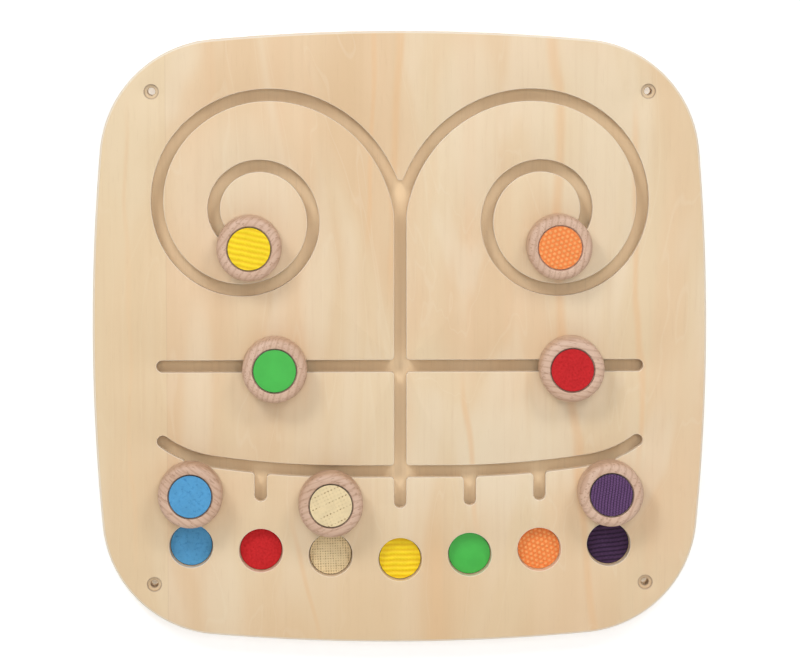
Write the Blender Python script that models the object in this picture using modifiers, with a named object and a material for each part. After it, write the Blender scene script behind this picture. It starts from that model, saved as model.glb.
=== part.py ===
"""Activity board for a wall: routed slots, sliding knobs and a row of texture windows.

Sizes are in metres. The board is drawn in its own plane, x across, y up and z out of the wall, under
an empty that stands it upright. In the world it faces -Y with +Z up, and the origin is the centre of
its back face, which lies on the wall.
"""
import math

import bmesh
import bpy
from mathutils import Vector

# Board: three glued layers with one outline, a square with full sides and round corners
BOARD_WIDTH = 0.600
BOARD_HEIGHT = 0.600
SIDE_ARC_RADIUS = 2.05
CORNER_ARC_RADIUS = 0.118
BACK_THICKNESS = 0.0084
CHANNEL_THICKNESS = 0.006
FRONT_THICKNESS = 0.011
GLUE_LINE = 0.0003
FRONT_EDGE_RADIUS = 0.003
BACK_EDGE_RADIUS = 0.0015

# Slots in the front panel, and the wider channels behind them in which the glides run
SLOT_WIDTH = 0.012
CHANNEL_WIDTH = 0.032
CORNER_RADIUS = 0.0035
LOOP_CENTRE_DROP = 0.1778
LOOP_START_RADIUS = 0.1438
LOOP_SHRINK_PER_RADIAN = 0.143
LOOP_SWEEP = math.radians(630)
CROSSBAR_HEIGHT = -0.0265
SIDE_MARGIN = 0.0678
SMILE_MARGIN = 0.1695
SMILE_FLAT_HALF = 0.0464
SMILE_BEND_RADIUS = 0.932
SMILE_HOOK_RADIUS = 0.1045
SMILE_HOOK_REACH = 0.047
OUTER_NOTCH_MARGIN = 0.0948
NOTCH_END_MARGINS = (0.139, 0.1415, 0.1463, 0.151)

# Windows along the bottom edge, each under a notch
WINDOW_DIAMETER = 0.043
WINDOW_MARGIN = 0.082
WINDOW_STEP_UP = 0.0048
PATCH_CLEARANCE = 0.0005
PATCH_THICKNESS = 0.0012

# Counterbored holes for the wall screws
BORE_INSET = 0.0585
BORE_DIAMETER = 0.0076
COUNTERBORE_DIAMETER = 0.014
COUNTERBORE_DEPTH = 0.004

# Knobs: a turned ring with a textured disc, on a stem that reaches through the slot
KNOB_DIAMETER = 0.063
KNOB_HEIGHT = 0.033
KNOB_SHOULDER_RADIUS = 0.0055
KNOB_BASE_RADIUS = 0.002
RECESS_DIAMETER = 0.044
RECESS_DEPTH = 0.004
DISC_CLEARANCE = 0.0006
DISC_THICKNESS = 0.0028
DISC_EDGE_RADIUS = 0.0005
STEM_DIAMETER = 0.009
GLIDE_DIAMETER = 0.027
GLIDE_THICKNESS = 0.004
RUNNING_GAP = 0.0005

# Countersunk screws, one size for the knobs and for the back
SCREW_LENGTH = 0.022
SCREW_DIAMETER = 0.0036
SCREW_HEAD_DIAMETER = 0.0075
SCREW_TIP_LENGTH = 0.002
SCREW_SINK = 0.0004
SOCKET_WIDTH = 0.003
SOCKET_DEPTH = 0.0016
RIM_SCREW_INSET = 0.023
RIM_SCREW_SPREAD = 0.150
INNER_SCREW_ACROSS = 0.100
INNER_SCREW_UP = -0.080

# Where the knobs rest: an angle along a loop, a place on the crossbar, or the end of a notch
YELLOW_REST_ANGLE = math.radians(623.8)
ORANGE_REST_ANGLE = math.radians(610.8)
CURL_HIGH_ANGLE = math.radians(482)
GREEN_ACROSS = -0.1227
RED_ACROSS = 0.1665

# Fineness of the round shapes
FIT_GAP = 0.0003
SIDE_STEPS = 4
CORNER_STEPS = 12
LOOP_POINTS = 60
BEND_STEPS = 5
HOOK_STEPS = 3
END_STEPS = 5
CORNER_SEGMENTS = 3
CORNER_LEAST_TURN = math.radians(50)
CORNER_WALL_SHARE = 0.8
ROUND_SIDES = 24
BORE_SIDES = 12
GLIDE_SIDES = 16
SCREW_SIDES = 10
RIM_SEGMENTS = 2
FLAT_ANGLE = math.radians(0.3)
CUT_OVERSHOOT = 0.002

# Colours, from left to right in the row of windows, with the roughness of each texture
TEXTURES = {
    "blue": ((0.098, 0.352, 0.617), 0.55),
    "red": ((0.546, 0.024, 0.027), 0.95),
    "beige": ((0.720, 0.560, 0.320), 0.90),
    "yellow": ((0.900, 0.620, 0.024), 0.60),
    "green": ((0.085, 0.500, 0.100), 0.15),
    "orange": ((0.860, 0.270, 0.074), 0.45),
    "purple": ((0.080, 0.045, 0.105), 0.90),
}
PLYWOOD = (0.800, 0.640, 0.440)
CHANNEL_WOOD = (0.700, 0.520, 0.330)
BEECH = (0.640, 0.430, 0.290)
NYLON = (0.850, 0.850, 0.820)
STEEL = (0.620, 0.620, 0.640)

# Levels out of the wall
CHANNEL_BACK = BACK_THICKNESS + GLUE_LINE
CHANNEL_FRONT = CHANNEL_BACK + CHANNEL_THICKNESS
PANEL_BACK = CHANNEL_FRONT + GLUE_LINE
PANEL_FRONT = PANEL_BACK + FRONT_THICKNESS
KNOB_BASE = PANEL_FRONT + RUNNING_GAP
GLIDE_FRONT = PANEL_BACK - RUNNING_GAP
GLIDE_BACK = GLIDE_FRONT - GLIDE_THICKNESS
SLOT_REACH = BOARD_WIDTH / 2 - SIDE_MARGIN

# Places kept to an edge of the board
LOOP_CENTRE_HEIGHT = BOARD_HEIGHT / 2 - LOOP_CENTRE_DROP
SMILE_HEIGHT = SMILE_MARGIN - BOARD_HEIGHT / 2
NOTCH_END_HEIGHTS = [margin - BOARD_HEIGHT / 2 for margin in NOTCH_END_MARGINS]
NOTCH_PITCH = (BOARD_WIDTH / 2 - OUTER_NOTCH_MARGIN) / (len(NOTCH_END_MARGINS) - 1)

# How far each knob hangs below the middle of its slot, so that the stem rests on the wall
KNOB_SAG = (SLOT_WIDTH - STEM_DIAMETER) / 2 - FIT_GAP


def clear_scene():
    """Remove whatever objects the file starts with."""
    for obj in list(bpy.data.objects):
        bpy.data.objects.remove(obj, do_unlink=True)


def new_collection(name):
    """Make a collection under the scene's own."""
    collection = bpy.data.collections.new(name)
    bpy.context.scene.collection.children.link(collection)
    return collection


def new_empty(name, parent, place):
    """Make an empty of the board's collection at a place in its parent's space."""
    empty = bpy.data.objects.new(name, None)
    empty.empty_display_size = 0.02
    empty.parent = parent
    empty.location = place
    BOARD.objects.link(empty)
    return empty


def new_object(name, mesh, parent, place, collection):
    """Place a mesh as a named object."""
    obj = bpy.data.objects.new(name, mesh)
    obj.parent = parent
    obj.location = place
    collection.objects.link(obj)
    return obj


def new_cutter(name, mesh, place):
    """Place a mesh that only cuts."""
    cutter = new_object(name, mesh, FRAME, place, CUTTERS)
    cutter.hide_render = True
    cutter.display_type = "WIRE"
    return cutter


def finish(obj, name, colour, roughness, metallic=0.0):
    """Give an object a material of its own."""
    material = bpy.data.materials.new(name)
    material.use_nodes = True
    shader = material.node_tree.nodes["Principled BSDF"]
    shader.inputs["Base Color"].default_value = (*colour, 1.0)
    shader.inputs["Roughness"].default_value = roughness
    shader.inputs["Metallic"].default_value = metallic
    obj.data.materials.append(material)


def baked(obj):
    """Turn an object with its modifiers, or a curve, into one welded mesh, and drop the object."""
    bpy.context.view_layer.update()
    evaluated = obj.evaluated_get(bpy.context.evaluated_depsgraph_get())
    mesh = bpy.data.meshes.new_from_object(evaluated)
    mesh.name = obj.name
    bm = bmesh.new()
    bm.from_mesh(mesh)
    bmesh.ops.remove_doubles(bm, verts=bm.verts, dist=0.000005)
    bm.to_mesh(mesh)
    bm.free()
    bpy.data.objects.remove(obj, do_unlink=True)
    return mesh


def cut(obj, cutters):
    """Take each cutter away from the object."""
    for cutter in cutters:
        modifier = obj.modifiers.new(cutter.name, "BOOLEAN")
        modifier.operation = "DIFFERENCE"
        modifier.solver = "EXACT"
        modifier.object = cutter


def arc(centre, radius, start, end, steps):
    """Points along an arc, both ends included; angles in degrees."""
    angles = [math.radians(start + (end - start) * i / steps) for i in range(steps + 1)]
    return [(centre[0] + radius * math.cos(a), centre[1] + radius * math.sin(a)) for a in angles]


def turned(name, profile, sides, closed=False):
    """Mesh turned about z from (radius, height) points that run down the outer side."""
    mesh = bpy.data.meshes.new(name)
    last = len(profile) if closed else len(profile) - 1
    edges = [(i, (i + 1) % len(profile)) for i in range(last)]
    mesh.from_pydata([(radius, 0.0, height) for radius, height in profile], edges, [])
    obj = new_object(name, mesh, None, (0, 0, 0), BOARD)
    screw = obj.modifiers.new("turn", "SCREW")
    screw.steps = sides
    screw.render_steps = sides
    screw.use_merge_vertices = True
    screw.merge_threshold = 0.00001
    solid = baked(obj)
    solid.shade_smooth()
    solid.set_sharp_from_angle(angle=math.radians(35))
    return solid


def merge_flat_faces(bm):
    """Join neighbouring faces that lie in one plane."""
    bmesh.ops.dissolve_limit(bm, angle_limit=FLAT_ANGLE, verts=bm.verts, edges=bm.edges)


def slab(name, outline, low, high):
    """Mesh of a flat outline between two levels."""
    curve = bpy.data.curves.new(name, "CURVE")
    curve.dimensions = "2D"
    curve.fill_mode = "BOTH"
    curve.extrude = (high - low) / 2
    spline = curve.splines.new("POLY")
    spline.points.add(len(outline) - 1)
    for point, (x, y) in zip(spline.points, outline):
        point.co = (x, y, 0, 1)
    spline.use_cyclic_u = True
    obj = new_object(name, curve, None, (0, 0, 0), BOARD)
    mesh = baked(obj)
    bm = bmesh.new()
    bm.from_mesh(mesh)
    merge_flat_faces(bm)
    bmesh.ops.translate(bm, verts=bm.verts, vec=(0, 0, (low + high) / 2))
    bm.to_mesh(mesh)
    bm.free()
    return mesh


def board_outline():
    """Four long arcs for the sides, joined by corner arcs that touch them.

    Each corner's centre lies as far from the centres of its two side arcs as the radii differ.
    """
    across = BOARD_WIDTH / 2 - SIDE_ARC_RADIUS
    up = BOARD_HEIGHT / 2 - SIDE_ARC_RADIUS
    spread = math.hypot(across, up)
    reach = math.sqrt((SIDE_ARC_RADIUS - CORNER_ARC_RADIUS) ** 2 - spread**2 / 4) / spread
    corner = (across / 2 - up * reach, up / 2 - across * reach)
    low = math.degrees(math.atan2(corner[1], corner[0] - across))
    high = math.degrees(math.atan2(corner[1] - up, corner[0]))
    side = arc((across, 0), SIDE_ARC_RADIUS, 0, low, SIDE_STEPS)
    bend = arc(corner, CORNER_ARC_RADIUS, low, high, CORNER_STEPS)
    top = arc((0, up), SIDE_ARC_RADIUS, high, 90, SIDE_STEPS)
    quarter = side + bend[1:] + top[1:]
    half = quarter + [(-x, y) for x, y in quarter[-2::-1]]
    return half + [(x, -y) for x, y in half[-2:0:-1]]


def round_rim(mesh, level, radius, segments):
    """Round the rim of a plate at one level."""
    bm = bmesh.new()
    bm.from_mesh(mesh)
    rim = [edge for edge in bm.edges if all(abs(v.co.z - level) < 0.00001 for v in edge.verts)]
    bmesh.ops.bevel(bm, geom=rim, offset=radius, segments=segments, profile=0.5, affect="EDGES")
    bm.to_mesh(mesh)
    bm.free()


def ribbon(line, width, round_start, round_end):
    """Outline of a strip of constant width along a centre line, with square or half-round ends."""
    points = [Vector(point) for point in line]
    left = []
    right = []
    for i, point in enumerate(points):
        before = (point - points[i - 1]).normalized() if i > 0 else None
        after = (points[i + 1] - point).normalized() if i < len(points) - 1 else None
        along = ((before or after) + (after or before)).normalized()
        reach = width / 2 / along.dot(after or before)
        side = Vector((-along.y, along.x)) * reach
        left.append(point + side)
        right.append(point - side)
    end = half_round(points[-1], right[-1] - points[-1]) if round_end else []
    start = half_round(points[0], left[0] - points[0]) if round_start else []
    return right + end + left[::-1] + start


def half_round(centre, radius_vector):
    """Points of a half circle that starts from one side of a strip and goes round its end."""
    start = math.degrees(math.atan2(radius_vector.y, radius_vector.x))
    return [Vector(p) for p in arc(centre, radius_vector.length, start, start + 180, END_STEPS)[1:-1]]


def loop_point(angle, side):
    """Place on a loop: the radius about the loop's centre shrinks by a steady rate with the angle."""
    radius = LOOP_START_RADIUS * math.exp(-LOOP_SHRINK_PER_RADIAN * angle)
    across = LOOP_START_RADIUS - radius * math.cos(angle)
    return (side * across, LOOP_CENTRE_HEIGHT + radius * math.sin(angle))


def loop_line(side):
    """Centre line of a loop, from the top of the stem inwards.

    The steps grow as the radius shrinks, by the root of their ratio, so each chord is as flat as the next.
    """
    rate = LOOP_SHRINK_PER_RADIAN / 2
    closing = 1 - math.exp(-rate * LOOP_SWEEP)
    steps = [i / (LOOP_POINTS - 1) for i in range(LOOP_POINTS)]
    return [loop_point(-math.log(1 - step * closing) / rate, side) for step in steps]


def smile_half():
    """Right half of the smile's centre line: flat, then a wide bend, then a tight hook."""
    hook_start = SLOT_REACH - SMILE_HOOK_REACH
    bend_end = math.asin((hook_start - SMILE_FLAT_HALF) / SMILE_BEND_RADIUS)
    hook_end = math.asin(math.sin(bend_end) + SMILE_HOOK_REACH / SMILE_HOOK_RADIUS)
    bend_centre = (SMILE_FLAT_HALF, SMILE_HEIGHT + SMILE_BEND_RADIUS)
    bend = arc(bend_centre, SMILE_BEND_RADIUS, -90, math.degrees(bend_end) - 90, BEND_STEPS)
    lift = SMILE_BEND_RADIUS - SMILE_HOOK_RADIUS
    hook_centre = (
        SMILE_FLAT_HALF + lift * math.sin(bend_end),
        SMILE_HEIGHT + SMILE_BEND_RADIUS - lift * math.cos(bend_end),
    )
    hook_angles = (math.degrees(bend_end) - 90, math.degrees(hook_end) - 90)
    hook = arc(hook_centre, SMILE_HOOK_RADIUS, *hook_angles, HOOK_STEPS)
    return bend + hook[1:]


def smile_line():
    """Whole centre line of the smile, from left to right."""
    half = smile_half()
    return [(-x, y) for x, y in half[::-1]] + half


def smile_height(across):
    """Height of the smile's centre line at a place across the board."""
    half = smile_half()
    for (x0, y0), (x1, y1) in zip(half, half[1:]):
        if x0 <= abs(across) <= x1:
            return y0 + (y1 - y0) * (abs(across) - x0) / (x1 - x0)
    return SMILE_HEIGHT


def notch_place(number):
    """End of a notch; the notches are numbered from the middle."""
    return (number * NOTCH_PITCH, NOTCH_END_HEIGHTS[abs(number)])


def slot_lines():
    """Centre line of each slot, with whether its start and end are round."""
    lines = [(loop_line(side), False, True) for side in (-1, 1)]
    lines.append((((0, LOOP_CENTRE_HEIGHT), notch_place(0)), False, True))
    lines.append((((-SLOT_REACH, CROSSBAR_HEIGHT), (SLOT_REACH, CROSSBAR_HEIGHT)), True, True))
    lines.append((smile_line(), True, True))
    for number in range(1, len(NOTCH_END_HEIGHTS)):
        for side in (-1, 1):
            across, end = notch_place(side * number)
            lines.append((((across, smile_height(across)), (across, end)), False, True))
    return lines


def is_sharp_corner(edge):
    """Tell whether an upright edge is an inner corner between two slots."""
    first, second = edge.verts
    if (first.co.xy - second.co.xy).length > 0.000001:
        return False
    return edge.calc_face_angle_signed(0) < -CORNER_LEAST_TURN


def round_corners(bm, radius):
    """Round each corner with the same radius, whatever its angle, within the two walls that it joins."""
    for corner in [edge for edge in bm.edges if is_sharp_corner(edge)]:
        turn = abs(corner.calc_face_angle_signed())
        wall = min(face.calc_area() for face in corner.link_faces) / corner.calc_length()
        offset = min(radius * math.tan(turn / 2), wall * CORNER_WALL_SHARE)
        bmesh.ops.bevel(
            bm, geom=[corner], offset=offset, segments=CORNER_SEGMENTS, profile=0.5, affect="EDGES"
        )


def slot_cutter(name, width, corner_radius, low, high):
    """One cutter for the whole network of slots, between two levels."""
    pieces = []
    for number, (line, round_start, round_end) in enumerate(slot_lines()):
        outline = ribbon(line, width, round_start, round_end)
        mesh = slab(f"{name}_{number}", outline, low, high)
        pieces.append(new_cutter(f"{name}_{number}", mesh, (0, 0, 0)))
    whole = pieces[0]
    for piece in pieces[1:]:
        modifier = whole.modifiers.new(piece.name, "BOOLEAN")
        modifier.operation = "UNION"
        modifier.solver = "EXACT"
        modifier.object = piece
    mesh = baked(whole)
    for piece in pieces[1:]:
        bpy.data.objects.remove(piece, do_unlink=True)
    bm = bmesh.new()
    bm.from_mesh(mesh)
    merge_flat_faces(bm)
    if corner_radius:
        round_corners(bm, corner_radius)
    bm.to_mesh(mesh)
    bm.free()
    return new_cutter(name, mesh, (0, 0, 0))


def screw_profile(gap):
    """Countersunk screw standing on its head, swollen by a gap where it is used to cut."""
    shank = SCREW_DIAMETER / 2 + gap
    head = SCREW_HEAD_DIAMETER / 2 + gap
    return [
        (0, SCREW_LENGTH + gap),
        (shank, SCREW_LENGTH - SCREW_TIP_LENGTH + gap),
        (shank, head - shank),
        (head, 0),
        (0, 0),
    ]


def screw_mesh():
    """The screw, with a hexagonal socket in its head."""
    body = new_object("screw", turned("screw", screw_profile(0), SCREW_SIDES), None, (0, 0, 0), BOARD)
    bm = bmesh.new()
    radius = SOCKET_WIDTH / math.sqrt(3)
    bmesh.ops.create_cone(
        bm, cap_ends=True, segments=6, radius1=radius, radius2=radius, depth=SOCKET_DEPTH * 2
    )
    socket_mesh = bpy.data.meshes.new("socket")
    bm.to_mesh(socket_mesh)
    bm.free()
    socket = new_object("socket", socket_mesh, None, (0, 0, 0), CUTTERS)
    cut(body, [socket])
    mesh = baked(body)
    bpy.data.objects.remove(socket, do_unlink=True)
    return mesh


def knob_profile():
    """Ring with a recess for the disc, a round shoulder, and the stem with its screw hole."""
    radius = KNOB_DIAMETER / 2
    shoulder = (radius - KNOB_SHOULDER_RADIUS, KNOB_HEIGHT - KNOB_SHOULDER_RADIUS)
    stem_end = GLIDE_FRONT + FIT_GAP - KNOB_BASE
    screw_tip = GLIDE_BACK + SCREW_SINK + SCREW_LENGTH + FIT_GAP - KNOB_BASE
    hole = SCREW_DIAMETER / 2 + FIT_GAP
    return [
        (0, KNOB_HEIGHT - RECESS_DEPTH),
        (RECESS_DIAMETER / 2, KNOB_HEIGHT - RECESS_DEPTH),
        (RECESS_DIAMETER / 2, KNOB_HEIGHT),
        *arc(shoulder, KNOB_SHOULDER_RADIUS, 90, 0, 3),
        (radius, KNOB_BASE_RADIUS),
        (radius - KNOB_BASE_RADIUS, 0),
        (STEM_DIAMETER / 2, 0),
        (STEM_DIAMETER / 2, stem_end),
        (hole, stem_end),
        (hole, screw_tip),
        (0, screw_tip),
    ]


def glide_profile():
    """Washer with a countersunk hole, from its hole at the front round to its hole at the back."""
    hole = SCREW_DIAMETER / 2 + FIT_GAP
    head = SCREW_HEAD_DIAMETER / 2 + FIT_GAP
    return [
        (hole, GLIDE_THICKNESS),
        (GLIDE_DIAMETER / 2, GLIDE_THICKNESS),
        (GLIDE_DIAMETER / 2, 0),
        (head, 0),
        (head, SCREW_SINK),
        (hole, SCREW_SINK + head - hole),
    ]


def disc_profile():
    """Round plate with an eased front edge."""
    radius = RECESS_DIAMETER / 2 - DISC_CLEARANCE
    return [
        (0, DISC_THICKNESS),
        (radius - DISC_EDGE_RADIUS, DISC_THICKNESS),
        (radius, DISC_THICKNESS - DISC_EDGE_RADIUS),
        (radius, 0),
        (0, 0),
    ]


def patch_profile():
    """Flat round patch."""
    radius = WINDOW_DIAMETER / 2 - PATCH_CLEARANCE
    return [(0, PATCH_THICKNESS), (radius, PATCH_THICKNESS), (radius, 0), (0, 0)]


def window_places():
    """Colour and place of each window; the row rises towards both sides."""
    middle = len(TEXTURES) // 2
    low = WINDOW_MARGIN - BOARD_HEIGHT / 2
    return [
        (colour, ((i - middle) * NOTCH_PITCH, low + WINDOW_STEP_UP * abs(i - middle)))
        for i, colour in enumerate(TEXTURES)
    ]


def window_cutters():
    """Cutters for the windows, through the front panel only."""
    radius = WINDOW_DIAMETER / 2
    low = PANEL_BACK - CUT_OVERSHOOT
    high = PANEL_FRONT + CUT_OVERSHOOT
    mesh = turned("window", [(0, high), (radius, high), (radius, low), (0, low)], ROUND_SIDES)
    return [new_cutter(f"window_{colour}", mesh, (x, y, 0)) for colour, (x, y) in window_places()]


def bore_places():
    """Places of the four wall-screw holes."""
    x = BOARD_WIDTH / 2 - BORE_INSET
    y = BOARD_HEIGHT / 2 - BORE_INSET
    return [(-x, -y), (x, -y), (-x, y), (x, y)]


def bore_cutters():
    """Stepped cutters for the wall-screw holes, through all three layers."""
    head = COUNTERBORE_DIAMETER / 2
    hole = BORE_DIAMETER / 2
    ledge = PANEL_FRONT - COUNTERBORE_DEPTH
    high = PANEL_FRONT + CUT_OVERSHOOT
    low = -CUT_OVERSHOOT
    profile = [(0, high), (head, high), (head, ledge), (hole, ledge), (hole, low), (0, low)]
    mesh = turned("wall_bore", profile, BORE_SIDES)
    return [new_cutter(f"wall_bore_{i + 1}", mesh, (x, y, 0)) for i, (x, y) in enumerate(bore_places())]


def back_screw_places():
    """Screws round the rim, and two between the channels."""
    x = BOARD_WIDTH / 2 - RIM_SCREW_INSET
    y = BOARD_HEIGHT / 2 - RIM_SCREW_INSET
    places = [(0, -y), (0, y), (-x, 0), (x, 0)]
    places += [(side * RIM_SCREW_SPREAD, end) for end in (-y, y) for side in (-1, 1)]
    return places + [(side * INNER_SCREW_ACROSS, INNER_SCREW_UP) for side in (-1, 1)]


def screw_hole_cutters():
    """Holes for the back screws, each with its countersink open to the back face."""
    head = SCREW_HEAD_DIAMETER / 2 + FIT_GAP
    profile = screw_profile(FIT_GAP)[:-1] + [(head, -CUT_OVERSHOOT), (0, -CUT_OVERSHOOT)]
    mesh = turned("screw_hole", profile, SCREW_SIDES)
    places = enumerate(back_screw_places())
    return [new_cutter(f"screw_hole_{i + 1:02d}", mesh, (x, y, SCREW_SINK)) for i, (x, y) in places]


def build_layers():
    """The three layers, with everything that is cut through them."""
    bores = bore_cutters()
    screw_holes = screw_hole_cutters()
    slots = slot_cutter(
        "slots", SLOT_WIDTH, CORNER_RADIUS, PANEL_BACK - CUT_OVERSHOOT, PANEL_FRONT + CUT_OVERSHOOT
    )
    channels = slot_cutter(
        "channels", CHANNEL_WIDTH, 0, CHANNEL_BACK - CUT_OVERSHOOT, CHANNEL_FRONT + CUT_OVERSHOOT
    )
    layers = (
        ("front_panel", PANEL_BACK, PANEL_FRONT, PLYWOOD, [slots, *window_cutters()]),
        ("channel_panel", CHANNEL_BACK, CHANNEL_FRONT, CHANNEL_WOOD, [channels]),
        ("back_panel", 0, BACK_THICKNESS, PLYWOOD, []),
    )
    for name, low, high, colour, own_cutters in layers:
        mesh = slab(name, board_outline(), low, high)
        if name == "front_panel":
            round_rim(mesh, high, FRONT_EDGE_RADIUS, RIM_SEGMENTS)
        if name == "back_panel":
            round_rim(mesh, low, BACK_EDGE_RADIUS, 1)
        layer = new_object(name, mesh, FRAME, (0, 0, 0), BOARD)
        cut(layer, [*own_cutters, *bores, *screw_holes])
        finish(layer, name, colour, 0.55)


def build_patches():
    """A patch of each texture, glued to the channel panel behind its window."""
    for colour, (x, y) in window_places():
        name = f"window_patch_{colour}"
        place = (x, y, CHANNEL_FRONT + FIT_GAP)
        patch = new_object(name, turned(name, patch_profile(), ROUND_SIDES), FRAME, place, BOARD)
        finish(patch, name, *TEXTURES[colour])


def build_screw(name, parent, place):
    """One screw, its head towards the wall."""
    screw = new_object(name, SCREW.copy(), parent, place, BOARD)
    finish(screw, name, STEEL, 0.35, 1.0)


def build_back_screws():
    """The screws that hold the layers together, from behind."""
    for number, (x, y) in enumerate(back_screw_places(), 1):
        build_screw(f"back_screw_{number:02d}", FRAME, (x, y, SCREW_SINK))


def build_knob(colour, parent, place):
    """A knob with its disc, glide and screw, about an empty on the knob's own axis."""
    axis = new_empty(f"{colour}_knob_axis", parent, place)
    knob_name = f"knob_{colour}"
    knob_mesh = turned(knob_name, knob_profile(), ROUND_SIDES)
    knob = new_object(knob_name, knob_mesh, axis, (0, 0, KNOB_BASE), BOARD)
    finish(knob, knob_name, BEECH, 0.50)
    disc_name = f"disc_{colour}"
    disc_level = KNOB_BASE + KNOB_HEIGHT - RECESS_DEPTH + FIT_GAP
    disc_mesh = turned(disc_name, disc_profile(), ROUND_SIDES)
    disc = new_object(disc_name, disc_mesh, axis, (0, 0, disc_level), BOARD)
    finish(disc, disc_name, *TEXTURES[colour])
    glide_name = f"glide_{colour}"
    glide_mesh = turned(glide_name, glide_profile(), GLIDE_SIDES, closed=True)
    glide = new_object(glide_name, glide_mesh, axis, (0, 0, GLIDE_BACK), BOARD)
    finish(glide, glide_name, NYLON, 0.40)
    build_screw(f"knob_screw_{colour}", axis, (0, 0, GLIDE_BACK + SCREW_SINK))


def sagged(place):
    """Place where a knob hangs, from a place on its slot's centre line."""
    return Vector((place[0], place[1] - KNOB_SAG))


def curl_centre(side, rest_angle):
    """Centre of the circle that fits a loop's inner curl at the knob's rest, half way and at its far end."""
    low = sagged(loop_point(rest_angle, side))
    middle = Vector(loop_point((rest_angle + CURL_HIGH_ANGLE) / 2, side))
    high = Vector(loop_point(CURL_HIGH_ANGLE, side))
    first = middle - low
    second = high - middle
    first_sum = (middle.length_squared - low.length_squared) / 2
    second_sum = (high.length_squared - middle.length_squared) / 2
    spread = first.x * second.y - first.y * second.x
    x = (first_sum * second.y - second_sum * first.y) / spread
    y = (second_sum * first.x - first_sum * second.x) / spread
    return Vector((x, y))


def build_curl_knob(colour, side, rest_angle):
    """A knob in a loop, under an empty at the centre of the inner curl, which it swings about."""
    centre = curl_centre(side, rest_angle)
    pivot = new_empty(f"{colour}_curl_centre", FRAME, (centre.x, centre.y, 0))
    offset = sagged(loop_point(rest_angle, side)) - centre
    build_knob(colour, pivot, (offset.x, offset.y, 0))


def build_knobs():
    """All seven knobs where they rest."""
    build_curl_knob("yellow", -1, YELLOW_REST_ANGLE)
    build_curl_knob("orange", 1, ORANGE_REST_ANGLE)
    build_knob("green", FRAME, (*sagged((GREEN_ACROSS, CROSSBAR_HEIGHT)), 0))
    build_knob("red", FRAME, (*sagged((RED_ACROSS, CROSSBAR_HEIGHT)), 0))
    for colour, notch in (("blue", -3), ("beige", -1), ("purple", 3)):
        build_knob(colour, FRAME, (*sagged(notch_place(notch)), 0))


clear_scene()
BOARD = new_collection("activity_board")
CUTTERS = new_collection("cutters")
FRAME = new_empty("board_frame", None, (0, 0, 0))
FRAME.rotation_euler = (math.radians(90), 0, 0)
SCREW = screw_mesh()
build_layers()
build_patches()
build_back_screws()
build_knobs()
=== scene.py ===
"""Looks of the wall-hung activity board: routed plywood face, turned knobs and texture discs.

Metres, the board faces -Y with +Z up. Flat shapes are drawn as (x, z) pairs, and "out" is the distance
out of the wall, so a point stands at (x, -out, z).
"""

import math

import bmesh
import bpy
import numpy as np
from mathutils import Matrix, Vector, noise
from mathutils.geometry import delaunay_2d_cdt


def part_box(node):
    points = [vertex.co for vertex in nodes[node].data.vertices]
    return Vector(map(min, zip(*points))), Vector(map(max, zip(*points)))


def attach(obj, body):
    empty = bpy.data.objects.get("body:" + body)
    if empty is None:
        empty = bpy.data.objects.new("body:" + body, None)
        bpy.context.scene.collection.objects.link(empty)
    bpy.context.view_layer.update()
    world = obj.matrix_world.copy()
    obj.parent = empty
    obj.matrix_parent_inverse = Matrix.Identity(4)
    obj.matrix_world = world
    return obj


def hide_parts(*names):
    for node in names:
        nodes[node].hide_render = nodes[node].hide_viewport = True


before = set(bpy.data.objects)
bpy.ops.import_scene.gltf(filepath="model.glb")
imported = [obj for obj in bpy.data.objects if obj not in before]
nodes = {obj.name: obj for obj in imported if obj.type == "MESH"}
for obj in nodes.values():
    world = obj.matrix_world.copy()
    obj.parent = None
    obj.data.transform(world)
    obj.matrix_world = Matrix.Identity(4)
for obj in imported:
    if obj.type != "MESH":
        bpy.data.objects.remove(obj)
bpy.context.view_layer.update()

# Camera, from the photograph's perspective
CAMERA_PLACE = (-0.1043, -3.6, 0.3624)
CAMERA_YAW = -0.0291
CAMERA_PITCH = 0.0995
CAMERA_LENS = 165.5

# Face panel: levels out of the wall, outline, edge and arris radii
PANEL_BACK = 0.015
PANEL_FRONT = 0.026
HALF_BOARD = 0.300
SIDE_ARC_RADIUS = 2.05
CORNER_ARC_RADIUS = 0.118
EDGE_RADIUS = 0.003
ARRIS_RADIUS = 0.0007
CORNER_RADIUS = 0.0035
WALL_ROW = 0.018

# Slots
SLOT_HALF_WIDTH = 0.006
LOOP_CENTRE_UP = 0.1222
LOOP_START_RADIUS = 0.1438
LOOP_SHRINK = 0.143
LOOP_SWEEP = math.radians(630)
CROSSBAR_UP = -0.0265
SLOT_REACH = 0.2322
SMILE_UP = -0.1305
SMILE_FLAT_HALF = 0.0464
SMILE_BEND_RADIUS = 0.932
SMILE_HOOK_RADIUS = 0.1045
SMILE_HOOK_REACH = 0.047
NOTCH_PITCH = 0.0684
NOTCH_ENDS = (-0.161, -0.1585, -0.1537, -0.149)
# How far a centre line runs on past a crossing
PAST = 0.03

# Round holes
WINDOW_RADIUS = 0.0215
BORE_PLACE = 0.2415
BORE_RADIUS = 0.0038
COUNTERBORE_RADIUS = 0.007
COUNTERBORE_DEPTH = 0.004
COUNTERBORE_ARRIS = 0.0005
BACK_SCREWS = 10
SCREW_HOLE_RADIUS = 0.0021
SCREW_HOLE_LEVELS = (0.0207, 0.0227)

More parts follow.
